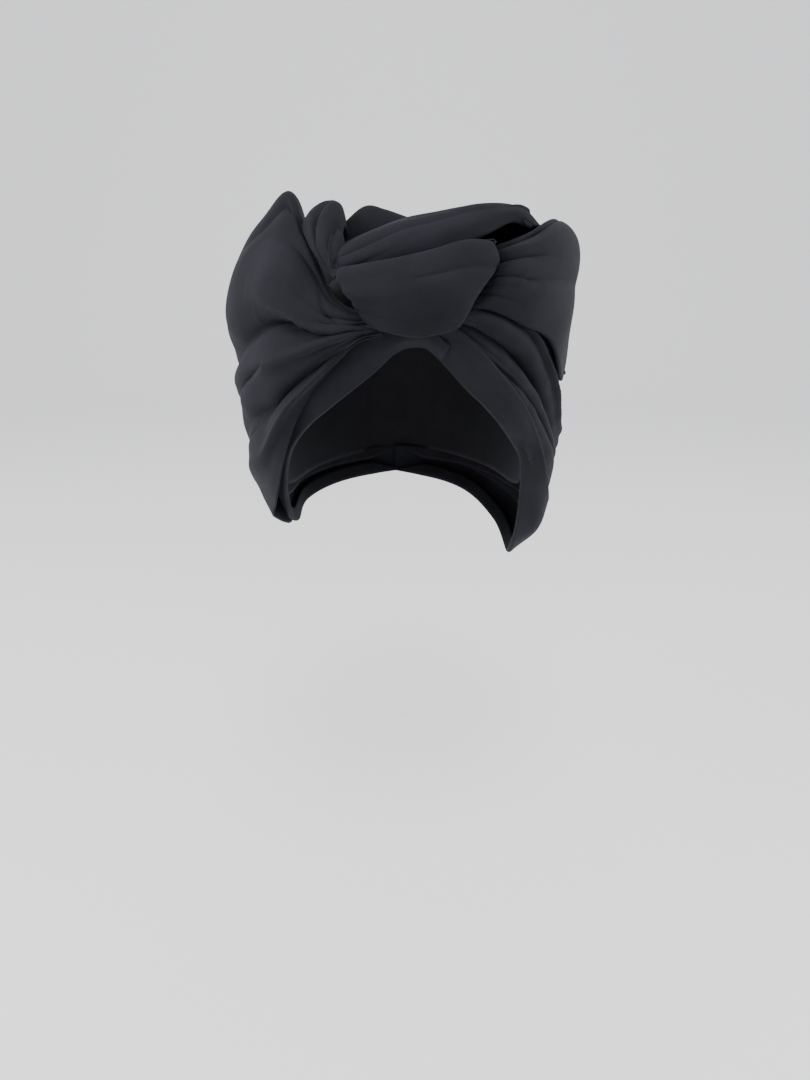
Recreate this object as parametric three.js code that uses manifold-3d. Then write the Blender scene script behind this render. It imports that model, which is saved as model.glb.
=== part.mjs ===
// A turban headwrap: a close cap, two side panels gathered into a knot over the brow, hem bands round
// the face, and the loops that stand up from the knot. Millimetres, +Z up, the face towards -Y.
// The origin is where the top of the wearer's head touches the inside of the crown.
// Left and right are as seen from the front: left is -X.
import * as THREE from "three";
import Module from "manifold-3d";

const wasm = await Module();
wasm.setup();

const CLOTH = 1.6; // wall of the draped cloth
const HEM = 2.4; // wall of a hem band, which is folded double
const GAP = 0.4; // clearance kept between neighbouring pieces
const BLACK = 0x1b1b20;

// The head that the wrap is made for, and the inside of the cap: an egg, widest at its middle height.
const HEAD = { halfWidth: 78, halfDepth: 98, crownHeight: 115, taper: 0.00003 };

const DEGREE = Math.PI / 180;

// ---- Curves through tables ------------------------------------------------------------------

// The value at x of the smooth curve through the points (xs[i], ys[i]).
function smooth(xs, ys, x) {
  const last = xs.length - 1;
  const slope = (i) => {
    const a = Math.max(i - 1, 0);
    const b = Math.min(i + 1, last);
    return (ys[b] - ys[a]) / (xs[b] - xs[a]);
  };
  let i = 0;
  while (i < last - 1 && x > xs[i + 1]) i += 1;
  const span = xs[i + 1] - xs[i];
  const t = THREE.MathUtils.clamp((x - xs[i]) / span, 0, 1);
  const t2 = t * t;
  const t3 = t2 * t;
  return (
    (2 * t3 - 3 * t2 + 1) * ys[i] +
    (t3 - 2 * t2 + t) * span * slope(i) +
    (3 * t2 - 2 * t3) * ys[i + 1] +
    (t3 - t2) * span * slope(i + 1)
  );
}

// The point at (u, v) of the surface through a table. Each row is a section, and columnAt says where
// each of its columns falls, from 0 at the first edge of the sheet to 1 at the other.
function throughTable(rows, rowAt, columnAt) {
  return (u, v) =>
    rows[0][0].map((_, k) => {
      const across = columnAt.map((_place, j) => smooth(rowAt, rows.map((row) => row[j][k]), u));
      return smooth(columnAt, across, v);
    });
}

const evenly = (count) => Array.from({ length: count }, (_, i) => i / (count - 1));

// ---- Folds --------------------------------------------------------------------------------------

// How far the folds push the cloth out at (u, v). A ridge (depth over 0) is round and a crease
// (depth under 0) is sharp. Near, middle and far say where a fold lies across the sheet at its start,
// half way along it and at its end.
function foldHeight(folds, u, v) {
  let height = 0;
  for (const [start, end, near, middle, far, width, depth] of folds) {
    const along = (u - start) / (end - start);
    if (along <= 0 || along >= 1) continue;
    const off = Math.abs(v - smooth([0, 0.5, 1], [near, middle, far], along)) / width;
    const shape = depth > 0 ? Math.exp(-off * off) : Math.exp(-1.6 * off);
    height += depth * shape * Math.sin(Math.PI * Math.sqrt(along));
  }
  return height;
}

// The outward normal of a surface, from its slopes along u and v.
function normalAt(surface, u, v) {
  const step = 1e-3;
  const at = (a, b) => surface(THREE.MathUtils.clamp(a, 0, 1), THREE.MathUtils.clamp(b, 0, 1));
  const du = at(u + step, v).sub(at(u - step, v));
  const dv = at(u, v + step).sub(at(u, v - step));
  return du.cross(dv).normalize();
}

function withFolds(surface, side, folds) {
  return (u, v) => {
    const out = normalAt(surface, u, v).multiplyScalar(side);
    return surface(u, v).addScaledVector(out, foldHeight(folds, u, v));
  };
}

// ---- The two kinds of sheet -----------------------------------------------------------------------

// A sheet that goes round the head. Each row of its table starts with the turn from the brow, in
// degrees, and then gives the distance from the head's axis and the height of each column's place.
// side is -1 to the left and 1 to the right.
function aroundHead(side, columns, rows, folds = []) {
  const first = rows[0][0];
  const whole = rows[rows.length - 1][0] - first;
  const rowAt = rows.map(([turn]) => (turn - first) / whole);
  const table = throughTable(rows.map(([, ...places]) => places), rowAt, Object.values(columns));
  const surface = (u, v) => {
    const [radius, height] = table(u, v);
    const turn = (first + whole * u) * DEGREE;
    return new THREE.Vector3(side * radius * Math.sin(turn), -radius * Math.cos(turn), height);
  };
  return { surface: withFolds(surface, side, folds), side };
}

// A sheet through places given as [x, y, z], one row for each section.
function throughPoints(columns, rows) {
  const table = throughTable(rows, evenly(rows.length), Object.values(columns));
  return { surface: (u, v) => new THREE.Vector3(...table(u, v)), side: 1 };
}

// ---- From a sheet to a solid wall --------------------------------------------------------------------

function solidFrom(points, triangles) {
  const vertProperties = new Float32Array(points.flatMap((p) => [p.x, p.y, p.z]));
  const triVerts = new Uint32Array(triangles);
  return new wasm.Manifold(new wasm.Mesh({ numProp: 3, vertProperties, triVerts }));
}

// The sheet's points at every corner of a grid, with the wall's outside and inside at each.
function gridOf({ surface, side }, [uSteps, vSteps], half) {
  const grid = [];
  for (let i = 0; i <= uSteps; i += 1) {
    for (let j = 0; j <= vSteps; j += 1) {
      const middle = surface(i / uSteps, j / vSteps);
      const out = normalAt(surface, i / uSteps, j / vSteps).multiplyScalar(side * half);
      grid.push({ middle, out });
    }
  }
  return grid;
}

const outside = ({ middle, out }) => middle.clone().add(out);
const inside = ({ middle, out }) => middle.clone().sub(out);

// The sheet as a closed wall: its outside, its inside and a rim between them.
function wallOf(sheet, [uSteps, vSteps], wall) {
  const grid = gridOf(sheet, [uSteps, vSteps], wall / 2);
  const count = grid.length;
  const at = (i, j) => i * (vSteps + 1) + j;
  const triangles = [];
  const quad = (...corners) => {
    const [a, b, c, d] = sheet.side > 0 ? corners : corners.reverse();
    triangles.push(a, b, c, a, c, d);
  };
  for (let i = 0; i < uSteps; i += 1) {
    for (let j = 0; j < vSteps; j += 1) {
      const corners = [at(i, j), at(i + 1, j), at(i + 1, j + 1), at(i, j + 1)];
      quad(...corners);
      quad(...corners.map((corner) => corner + count).reverse());
    }
  }
  const rim = [];
  for (let i = 0; i < uSteps; i += 1) rim.push([at(i, 0), at(i + 1, 0)]);
  for (let j = 0; j < vSteps; j += 1) rim.push([at(uSteps, j), at(uSteps, j + 1)]);
  for (let i = uSteps; i > 0; i -= 1) rim.push([at(i, vSteps), at(i - 1, vSteps)]);
  for (let j = vSteps; j > 0; j -= 1) rim.push([at(0, j), at(0, j - 1)]);
  for (const [a, b] of rim) quad(b, a, a + count, b + count);
  return solidFrom([...grid.map(outside), ...grid.map(inside)], triangles);
}

// Two triangles for each side of a box whose corners 0 to 3 lie outside and 4 to 7 inside.
const BOX = [
  [0, 1, 2, 3],
  [7, 6, 5, 4],
  [1, 0, 4, 5],
  [2, 1, 5, 6],
  [3, 2, 6, 7],
  [0, 3, 7, 4],
];

// The space that a sheet's neighbours keep clear of: a slightly larger brick for each cell.
function spaceAround(sheet, [uSteps, vSteps], wall) {
  const grid = gridOf(sheet, [uSteps, vSteps], wall / 2 + GAP);
  const bricks = [];
  for (let i = 0; i < uSteps; i += 1) {
    for (let j = 0; j < vSteps; j += 1) {
      const first = i * (vSteps + 1) + j;
      const cell = [first, first + vSteps + 1, first + vSteps + 2, first + 1].map((k) => grid[k]);
      const centre = new THREE.Vector3();
      cell.forEach(({ middle }) => centre.addScaledVector(middle, 0.25));
      const grown = cell.map(({ middle, out }) => {
        const away = middle.clone().sub(centre).setLength(2.5 * GAP);
        return { middle: middle.clone().add(away), out };
      });
      const corners = [...grown.map(outside), ...grown.map(inside)];
      const faces = BOX.map((face) => (sheet.side > 0 ? face : [...face].reverse()));
      bricks.push(solidFrom(corners, faces.flatMap(([a, b, c, d]) => [a, b, c, a, c, d])));
    }
  }
  return wasm.Manifold.union(bricks);
}

// The largest body of a cut wall, without the slivers that a cut leaves.
function tidied(solid) {
  const largest = (bodies) => bodies.reduce((a, b) => (b.volume() > a.volume() ? b : a));
  return largest(largest(solid.decompose()).simplify(0.12).decompose());
}

// ---- The cap ------------------------------------------------------------------------------------------

const CAP_RIM = [
  { turn: 0, z: -34 },
  { turn: 25, z: -54 },
  { turn: 45, z: -84 },
  { turn: 65, z: -116 },
  { turn: 90, z: -146 },
  { turn: 125, z: -150 },
  { turn: 180, z: -146 },
];

// How wide the head is at a height, as a share of its widest.
function headShare(z) {
  const drop = z + HEAD.crownHeight;
  if (drop > 0) return Math.sqrt(Math.max(0, 1 - (drop / HEAD.crownHeight) ** 2));
  return 1 - HEAD.taper * drop * drop;
}

// The cap's wall between two offsets from the head, from a little below its rim up to the pole: rings
// of points outside and inside, closed at the rim.
function capSolid([turnSteps, riseSteps], outer, inner, below = 0) {
  const points = [];
  for (const off of [outer, inner]) {
    for (let i = 0; i < turnSteps; i += 1) {
      const turn = (360 * i) / turnSteps;
      const fromBrow = Math.min(turn, 360 - turn);
      const rim = smooth(CAP_RIM.map((r) => r.turn), CAP_RIM.map((r) => r.z), fromBrow) - below;
      for (let j = 0; j < riseSteps; j += 1) {
        // Equal steps of slope from the rim to the pole.
        const rimSlope = rim > -HEAD.crownHeight
          ? Math.acos((rim + HEAD.crownHeight) / HEAD.crownHeight)
          : Math.PI / 2 - (rim + HEAD.crownHeight) / HEAD.crownHeight;
        const slope = rimSlope * (1 - j / riseSteps);
        const overEquator = slope < Math.PI / 2;
        const z = overEquator
          ? (HEAD.crownHeight + off) * Math.cos(slope) - HEAD.crownHeight
          : -HEAD.crownHeight - (slope - Math.PI / 2) * HEAD.crownHeight;
        const share = overEquator ? Math.sin(slope) : headShare(z);
        points.push(new THREE.Vector3(
          (HEAD.halfWidth + off) * share * Math.sin(turn * DEGREE),
          -(HEAD.halfDepth + off) * share * Math.cos(turn * DEGREE),
          z,
        ));
      }
    }
    points.push(new THREE.Vector3(0, 0, off));
  }
  const layerSize = turnSteps * riseSteps + 1;
  const at = (i, j) => (j === riseSteps ? layerSize - 1 : (i % turnSteps) * riseSteps + j);
  const triangles = [];
  const face = (a, b, c) => {
    triangles.push(a, b, c);
    triangles.push(a + layerSize, c + layerSize, b + layerSize);
  };
  for (let i = 0; i < turnSteps; i += 1) {
    for (let j = 0; j < riseSteps; j += 1) {
      face(at(i, j), at(i + 1, j), at(i + 1, j + 1));
      if (j < riseSteps - 1) face(at(i, j), at(i + 1, j + 1), at(i, j + 1));
    }
    const [a, b] = [at(i, 0), at(i + 1, 0)];
    triangles.push(b, a, a + layerSize, b, a + layerSize, b + layerSize);
  }
  return solidFrom(points, triangles);
}

// ---- Tables: the sheets that go round the head ---------------------------------------------------------
// Each row is a section: its turn from the brow, then [distance from the axis, height] for each column.
// The numbers beside the columns' names say where they fall across the sheet.

const PANEL_COLUMNS = { hem: 0, low: 0.2, belly: 0.42, high: 0.64, crest: 0.81, tuck: 0.88, seam: 1 };

const LEFT_PANEL = [
  // turn, hem, low, belly, high, crest, tuck, seam
  [6, [94, -38], [95, -36], [95, -33], [95, -30], [93, -28], [90, -27], [84, -30]],
  [13, [97, -41], [98.5, -38], [100, -34], [98, -31], [94, -28], [88, -27], [80, -30]],
  [22, [97, -55], [101, -47], [102, -38], [100, -30], [92, -22], [83, -22], [74, -27]],
  [30, [98, -70], [102, -58], [103, -42], [100, -25], [88, -8], [79, -12], [69, -24]],
  [38, [98, -90], [103, -70], [104, -46], [100, -19], [84, 9], [75, 3], [63, -22]],
  [46, [97, -118], [103, -85], [104, -50], [100, -15], [80, 22], [71, 14], [60, -23]],
  [54, [94, -141], [102, -98], [104, -54], [99, -13], [77, 29], [68, 20], [58, -24]],
  [72, [86, -161], [102, -115], [105, -64], [103, -20], [80, 18], [69, 12], [58, -32]],
  [92, [77.5, -175], [101, -129], [104, -76], [105, -32], [85, 6], [71, 2], [59, -36]],
  [120, [88, -168], [102, -126], [105, -78], [104, -36], [82, -3], [70, -6], [61, -34]],
  [150, [96, -156], [105, -121], [110, -80], [104, -40], [81, -12], [69, -14], [63, -29]],
  [179.6, [98, -150], [107, -118], [112, -82], [105, -43], [81, -18], [68, -19], [66, -27]],
];

const LEFT_FOLDS = [
  // start, end, near, middle, far, width, depth
  [0.02, 0.5, 0.44, 0.5, 0.44, 0.06, -6],
  [0.02, 0.55, 0.36, 0.38, 0.36, 0.07, 4],
  [0.02, 0.52, 0.06, 0.25, 0.25, 0.055, -7],
  [0.3, 0.9, 0.26, 0.22, 0.2, 0.06, -3],
  [0.4, 1.15, 0.6, 0.55, 0.5, 0.06, -4],
  [0.55, 1.4, 0.37, 0.35, 0.32, 0.06, -4],
  [0.5, 1.3, 0.18, 0.16, 0.14, 0.06, -3],
];

const RIGHT_PANEL = [
  // turn, hem, low, belly, high, crest, tuck, seam
  [10, [88, -40], [91, -37], [92, -34], [92, -31], [91, -28], [88, -26], [82, -30]],
  [17, [90, -47], [93, -38], [99, -28], [94, -26], [92, -24], [88, -21], [78, -28]],
  [28, [92, -63], [96, -52], [102, -33], [93, -26], [87, -16], [82, -10], [68, -24]],
  [42, [93, -91], [98, -72], [102, -48], [93, -30], [82, -6], [75, -3], [60, -24]],
  [56, [92, -118], [99, -96], [101, -72], [94, -40], [79, 0], [71, 1], [57, -28]],
  [72, [90, -150], [99, -124], [99, -96], [94, -52], [77, 4], [69, 3], [58, -32]],
  [90, [87, -172], [98, -141], [100, -105], [96, -55], [78, 2], [69, -1], [59, -36]],
  [120, [90, -168], [101, -131], [105, -90], [100, -42], [81, -4], [70, -8], [61, -34]],
  [150, [95, -158], [105, -122], [110, -81], [104, -40], [81, -12], [69, -14], [63, -29]],
  [179.6, [98, -150], [107, -118], [112, -82], [105, -43], [81, -18], [68, -19], [66, -27]],
];

const RIGHT_FOLDS = [
  // start, end, near, middle, far, width, depth
  [0.02, 0.4, 0.29, 0.34, 0.36, 0.06, -6],
  [0.12, 0.6, 0.6, 0.43, 0.42, 0.06, 3],
  [0.4, 1.15, 0.6, 0.55, 0.5, 0.06, -4],
  [0.55, 1.4, 0.37, 0.35, 0.32, 0.06, -4],
  [0.5, 1.3, 0.18, 0.16, 0.14, 0.06, -3],
];

const BAND_COLUMNS = { edge: 0, middle: 0.5, outer: 1 };

const LEFT_BAND = [
  // turn, edge, middle, outer
  [-14, [88, -51], [93, -47], [96, -43]],
  [-8, [85, -45], [90, -40], [92, -34]],
  [1, [86, -46], [90, -41], [91, -35]],
  [11, [89, -58], [92, -48], [91.5, -38]],
  [24, [92, -74], [95, -62], [94, -50]],
  [37, [91, -90], [94, -78], [94, -67]],
  [50, [88, -110], [92, -98], [92, -86]],
  [64, [83, -138], [89, -123], [90, -110]],
  [78, [78, -162], [83, -149], [86, -134]],
  [94, [74.5, -173], [79, -162], [82, -148]],
  [120, [83, -170], [87, -161], [90, -150]],
  [150, [88, -166], [93, -157], [95, -148]],
  [179.6, [90, -163], [94, -154], [96, -145]],
];

const RIGHT_BAND = [
  // turn, edge, middle, outer
  [6, [79, -43], [85, -39], [89, -35]],
  [11, [83, -48], [91, -41], [96, -35]],
  [16, [86, -55], [94, -45], [98, -36]],
  [23, [90, -67], [96, -56], [98, -45]],
  [32, [92, -80], [97, -70], [99, -60]],
  [43, [91, -98], [97, -89], [99, -79]],
  [54, [88, -116], [94, -110], [98, -103]],
  [64, [83, -150], [92, -139], [98, -129]],
  [76, [77, -181], [91, -168], [97, -148]],
  [92, [75, -196], [90, -181], [96, -157]],
  [120, [79, -185], [91, -172], [97, -156]],
  [150, [86, -171], [94, -161], [98, -150]],
  [179.6, [90, -163], [94, -154], [96, -145]],
];

// ---- Tables: the knot and its loops. Each place is [x, y, z] -------------------------------------------

const WRAP_COLUMNS = { under: 0, lip: 0.1, face: 0.42, high: 0.72, roll: 0.86, back: 1 };

const KNOT_WRAP = [
  // under, lip, face, high, roll, back
  [[-14, -86, -29], [-17, -88, -30], [-25, -86, -19], [-29, -83, -11], [-28, -79, -8], [-26, -75, -9]],
  [[-14, -91, -31], [-16, -96, -33], [-25, -97, -20], [-31, -95, -10], [-30, -91, -6], [-28, -83, -8]],
  [[-6, -92, -34], [-7, -101, -35], [-10, -105, -21], [-12, -102, -8], [-12, -97, -3], [-11, -87, -5]],
  [[10, -93, -36], [10, -102, -37], [11, -106, -20], [12, -103, -4], [12, -97, 2], [11, -87, -2]],
  [[23, -94, -33], [24, -102, -34], [29, -105, -18], [33, -101, 0], [33, -95, 7], [33, -84, 3]],
  [[28, -95, -30], [29, -100, -31], [39, -100, -15], [47, -94, -3], [44, -91, 6], [41, -82, 5]],
  [[27, -90, -28], [28, -93, -28], [37, -94, -14], [45, -87, -3], [42, -84, 4], [39, -77, 3]],
];

const TOP_COLUMNS = { foot: 0, face: 0.2, crest: 0.45, back: 0.75, down: 1 };

const KNOT_TOP = [
  // foot, face, crest, back, down
  [[-29, -88, -11], [-31, -89, -4], [-32, -82, 2], [-33, -70, 2], [-33, -60, -8]],
  [[-15, -92, -7], [-16, -92, 1], [-17, -83, 9], [-17, -68, 8], [-16, -56, -8]],
  [[3, -94, -4], [3, -93, 7], [3, -84, 16], [4, -68, 14], [5, -54, -6]],
  [[23, -93, 4], [23, -91, 13], [24, -81, 21], [25, -66, 18], [26, -52, -2]],
  [[42, -87, 11], [43, -85, 18], [45, -76, 24], [46, -62, 20], [45, -48, 0]],
  [[55, -78, 16], [57, -77, 20], [61, -70, 21], [60, -58, 17], [57, -45, 0]],
  [[64, -70, 13], [67, -69, 14], [71, -62, 13], [68, -52, 11], [62, -43, 0]],
];

const LOOP_COLUMNS = { low: 0, swell: 0.2, middle: 0.4, high: 0.6, ridge: 0.8, tuck: 1 };

const RIGHT_LOOP = [
  // low, swell, middle, high, ridge, tuck
  [[22, -84, -25], [28, -84, -19], [33, -83, -12], [37, -80, -5], [41, -76, 0], [43, -72, -4]],
  [[31, -91, -25], [38, -89, -18], [43, -87, -9], [48, -84, -1], [52, -80, 5], [53, -74, -1]],
  [[44, -91, -25], [50, -93, -17], [55, -92, -6], [59, -86, 3], [62, -77, 10], [60, -69, 3]],
  [[63, -82, -33], [69, -84, -20], [72, -81, -5], [75, -73, 7], [74, -63, 15], [70, -56, 6]],
  [[80, -65, -42], [86, -63, -26], [90, -58, -7], [90, -50, 9], [83, -44, 17], [77, -41, 8]],
  [[90, -47, -59], [97, -39, -38], [100, -33, -13], [98, -27, 5], [89, -26, 13], [80, -26, 5]],
  [[97, -22, -72], [102, -14, -47], [102, -9, -20], [96, -8, 0], [87, -10, 9], [79, -12, 3]],
  [[98, -2, -71], [102, 5, -46], [100, 9, -22], [93, 9, -5], [85, 5, 4], [78, 2, 2]],
];

const MIDDLE_COLUMNS = { root: 0, face: 0.25, high: 0.5, crest: 0.7, back: 1 };

const MIDDLE_LOOP = [
  // root, face, high, crest, back
  [[-34, -85, -11], [-45, -74, 2], [-51, -62, 11], [-52, -52, 14], [-49, -42, 0]],
  [[-33, -88, -10], [-43, -77, 5], [-47, -66, 17], [-46, -56, 21], [-43, -43, 4]],
  [[-31, -89, -9], [-38, -80, 7], [-40, -69, 20], [-38, -60, 25], [-35, -45, 6]],
  [[-30, -89, -8], [-33, -81, 6], [-33, -71, 18], [-31, -61, 23], [-29, -47, 5]],
  [[-28, -86, -6], [-29, -80, 3], [-30, -73, 10], [-29, -64, 14], [-27, -53, 0]],
];

const BACK_COLUMNS = { root: 0, face: 0.3, crest: 0.6, back: 1 };

const BACK_LOOP = [
  // root, face, crest, back
  [[-36, -58, -8], [-35, -58, 4], [-34, -53, 11], [-32, -42, -4]],
  [[-24, -61, -6], [-22, -61, 12], [-20, -54, 22], [-19, -40, 0]],
  [[-8, -60, -3], [-9, -61, 12], [-9, -54, 21], [-8, -40, 3]],
  [[6, -57, -3], [5, -59, 9], [5, -53, 17], [5, -41, 2]],
];

const leftPanel = aroundHead(-1, PANEL_COLUMNS, LEFT_PANEL, LEFT_FOLDS);
const rightPanel = aroundHead(1, PANEL_COLUMNS, RIGHT_PANEL, RIGHT_FOLDS);
const leftBand = aroundHead(-1, BAND_COLUMNS, LEFT_BAND);
const rightBand = aroundHead(1, BAND_COLUMNS, RIGHT_BAND);
const knotWrap = throughPoints(WRAP_COLUMNS, KNOT_WRAP);
const knotTop = throughPoints(TOP_COLUMNS, KNOT_TOP);
const rightLoop = throughPoints(LOOP_COLUMNS, RIGHT_LOOP);
const middleLoop = throughPoints(MIDDLE_COLUMNS, MIDDLE_LOOP);
const backLoop = throughPoints(BACK_COLUMNS, BACK_LOOP);

// ---- Assembly ------------------------------------------------------------------------------------------

// In the order in which they lie, the outermost first: each is cut clear of the cap and of those
// before it.
const LAYERS = [
  { name: "knot_wrap", sheet: knotWrap, steps: [16, 11], wall: CLOTH },
  { name: "knot_top", sheet: knotTop, steps: [12, 7], wall: CLOTH },
  { name: "right_loop", sheet: rightLoop, steps: [13, 10], wall: CLOTH },
  { name: "left_middle_loop", sheet: middleLoop, steps: [6, 7], wall: CLOTH },
  { name: "left_back_loop", sheet: backLoop, steps: [5, 6], wall: CLOTH },
  { name: "left_side_panel", sheet: leftPanel, steps: [20, 15], wall: CLOTH },
  { name: "left_hem_band", sheet: leftBand, steps: [22, 3], wall: HEM },
  { name: "right_hem_band", sheet: rightBand, steps: [22, 3], wall: HEM },
  { name: "right_side_panel", sheet: rightPanel, steps: [20, 14], wall: CLOTH },
];

const group = new THREE.Group();
group.name = "turban_headwrap";

function addMesh(name, solid) {
  const made = solid.getMesh();
  const vertices = new Float32Array(made.numVert * 3);
  for (let i = 0; i < made.numVert; i += 1) {
    vertices.set(made.vertProperties.subarray(i * made.numProp, i * made.numProp + 3), i * 3);
  }
  const geometry = new THREE.BufferGeometry();
  geometry.setAttribute("position", new THREE.BufferAttribute(vertices, 3));
  geometry.setIndex(new THREE.BufferAttribute(made.triVerts, 1));
  geometry.computeVertexNormals();
  const cloth = new THREE.MeshStandardMaterial({ color: BLACK, roughness: 0.8, metalness: 0 });
  const mesh = new THREE.Mesh(geometry, cloth);
  mesh.name = name;
  group.add(mesh);
}

const CAP_STEPS = [24, 8];
addMesh("crown_cap", capSolid(CAP_STEPS, CLOTH, 0));
let taken = capSolid(CAP_STEPS, CLOTH + GAP, -12, 2 * GAP);
for (const { name, sheet, steps, wall } of LAYERS) {
  addMesh(name, tidied(wallOf(sheet, steps, wall).subtract(taken)));
  taken = taken.add(spaceAround(sheet, steps, wall));
}

export default group;
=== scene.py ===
# %% [markdown]
# # A black turban headwrap
# The object is a pre-tied turban: a close cap, two side panels that gather into a flat knot over the
# brow, a folded hem on each side of the face, and loops of cloth that stand up from the knot.
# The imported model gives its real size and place. This script makes what shows: the cloth, its folds,
# its weave, the light and the camera. Everything is in metres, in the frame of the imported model.

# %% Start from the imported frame
import bpy
import math
import numpy as np
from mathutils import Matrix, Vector


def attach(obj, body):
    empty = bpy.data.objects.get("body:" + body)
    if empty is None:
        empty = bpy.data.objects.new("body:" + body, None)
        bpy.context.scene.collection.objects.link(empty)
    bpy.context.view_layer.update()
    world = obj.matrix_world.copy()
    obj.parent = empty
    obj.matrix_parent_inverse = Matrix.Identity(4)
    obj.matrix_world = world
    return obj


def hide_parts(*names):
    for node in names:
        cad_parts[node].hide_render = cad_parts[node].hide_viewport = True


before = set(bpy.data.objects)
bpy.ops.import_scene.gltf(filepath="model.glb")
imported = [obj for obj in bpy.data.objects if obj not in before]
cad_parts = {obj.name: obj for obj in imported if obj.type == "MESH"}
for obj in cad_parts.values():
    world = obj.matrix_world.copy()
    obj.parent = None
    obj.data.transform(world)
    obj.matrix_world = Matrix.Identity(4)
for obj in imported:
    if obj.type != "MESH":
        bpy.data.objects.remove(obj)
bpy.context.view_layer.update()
bpy.ops.object.select_all(action="DESELECT")

# %% [markdown]
# ## Curves through tables
# A gathered cloth is easiest to describe as a tailor would pin it: a few sections, and in each section
# the places that matter, such as the hem, the belly and the crest. A smooth curve through the places of
# a section, and another from section to section, make the whole sheet. Sculpting by hand would reach the
# same shape, but a table can be read and corrected, and the solid model is made from tables much like
# these. A small flat swatch is made first, to try each step on.

# %% A smooth curve, and a sheet woven from two sets of them
MM = 0.001

def smooth(places, values, at):
    """The values at `at` of the smooth curve through `values`, which stand at `places`."""
    places, values, at = (np.asarray(x, float) for x in (places, values, at))
    last = len(places) - 1
    before = np.maximum(np.arange(last + 1) - 1, 0)
    after = np.minimum(np.arange(last + 1) + 1, last)
    tall = (-1,) + (1,) * (values.ndim - 1)
    slope = (values[after] - values[before]) / (places[after] - places[before]).reshape(tall)
    i = np.clip(np.searchsorted(places, at, side="right") - 1, 0, last - 1)
    span = (places[i + 1] - places[i]).reshape(tall)
    t = np.clip((at - places[i]) / (places[i + 1] - places[i]), 0, 1).reshape(tall)
    return ((2 * t**3 - 3 * t**2 + 1) * values[i] + (t**3 - 2 * t**2 + t) * span * slope[i]
            + (3 * t**2 - 2 * t**3) * values[i + 1] + (t**3 - t**2) * span * slope[i + 1])

def even(count):
    """So many places spread evenly from 0 to 1."""
    return np.linspace(0, 1, count)

def through_table(rows, row_at, column_at, steps):
    """A grid of points on the surface through a table: along its rows, then across its columns."""
    along = smooth(row_at, np.array(rows, float), even(steps[0] + 1))
    return smooth(column_at, along.swapaxes(0, 1), even(steps[1] + 1)).swapaxes(0, 1)

def around_head(side, columns, rows, steps):
    """A sheet round the head. Each row starts with its turn from the brow, in degrees, and then gives
    the distance from the head's axis and the height of each place that the columns name."""
    turn = np.array([row[0] for row in rows], float)
    row_at = (turn - turn[0]) / (turn[-1] - turn[0])
    grid = through_table([row[1:] for row in rows], row_at, list(columns.values()), steps)
    angle = np.radians(turn[0] + (turn[-1] - turn[0]) * even(steps[0] + 1))[:, None]
    radius, height = grid[..., 0], grid[..., 1]
    return np.stack([side * radius * np.sin(angle), -radius * np.cos(angle), height], -1) * MM

def through_points(columns, rows, steps):
    """A sheet through places given as x, y and z."""
    return through_table(rows, even(len(rows)), list(columns.values()), steps) * MM

SWATCH = [
    # near, far
    ((0, 0, 0), (0, 100, 0)),
    ((100, 0, 0), (100, 100, 0)),
]
swatch = through_points(dict(near=0, far=1), SWATCH, (50, 50))
print("the flat swatch has", swatch.shape[0], "by", swatch.shape[1], "points")

# %% [markdown]
# ## Folds
# Cloth that is gathered at one end and spread at the other falls into folds that start sharp at the
# gather and fade as they run out. A ridge is round on top, and a crease between two ridges is sharp.
# Each fold is a line across the sheet, with a width and a depth, and it pushes the cloth out or in
# along its normal. Its lean drags the cloth sideways, so that a ridge rolls over the crease beside it.
# Finer pleats at a gather, and the slow unevenness of all hand-tied cloth, come from short sums of waves.

# %% Folding a sheet
START_WIDTH = 0.4    # how narrow a fold is where it starts, as a share of its width
CREASE_ROUND = 0.3   # how round the bottom of a crease is
CREASE_SIDES = 1.2   # how steeply its sides rise
CREASE_BESIDE = 0.9  # how far beside a crease the cloth that leans over it lies

def normals_of(grid, side):
    """The outward direction at each point. Side is -1 on a sheet that runs the other way round."""
    across = np.cross(np.gradient(grid, axis=0), np.gradient(grid, axis=1))
    return side * across / np.maximum(np.linalg.norm(across, axis=-1, keepdims=True), 1e-12)

def folded(grid, side, folds):
    """The sheet with its folds. Each one is a row: start and end along the sheet, where it lies across
    the sheet at the start, the middle and the end, its width, its depth and its lean."""
    u, v = even(grid.shape[0])[:, None], even(grid.shape[1])[None, :]
    height, drag = np.zeros(grid.shape[:2]), np.zeros(grid.shape[:2])
    for start, end, near, middle, far, width, depth, lean in folds:
        along = np.clip((u - start) / (end - start), 0, 1)
        centre = smooth([0, 0.5, 1], [near, middle, far], along[:, 0])[:, None]
        off = (v - centre) / (width * (START_WIDTH + (1 - START_WIDTH) * np.minimum(1, along * 2)))
        ridge = np.exp(-off**2)
        crease = np.exp(CREASE_SIDES * (CREASE_ROUND - np.sqrt(off**2 + CREASE_ROUND**2)))
        # A fold is strongest a quarter of the way along, and fades slowly from there.
        fade = np.sin(np.pi * along**0.5) ** 0.8
        height += depth * (ridge if depth > 0 else crease) * fade
        beside = 0 if depth > 0 else CREASE_BESIDE * np.sign(lean)
        drag += lean * np.exp(-(off + beside) ** 2) * fade
    across = np.gradient(grid, axis=1)
    across /= np.maximum(np.linalg.norm(across, axis=-1, keepdims=True), 1e-12)
    return grid + (normals_of(grid, side) * height[..., None] + across * drag[..., None]) * MM

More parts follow.
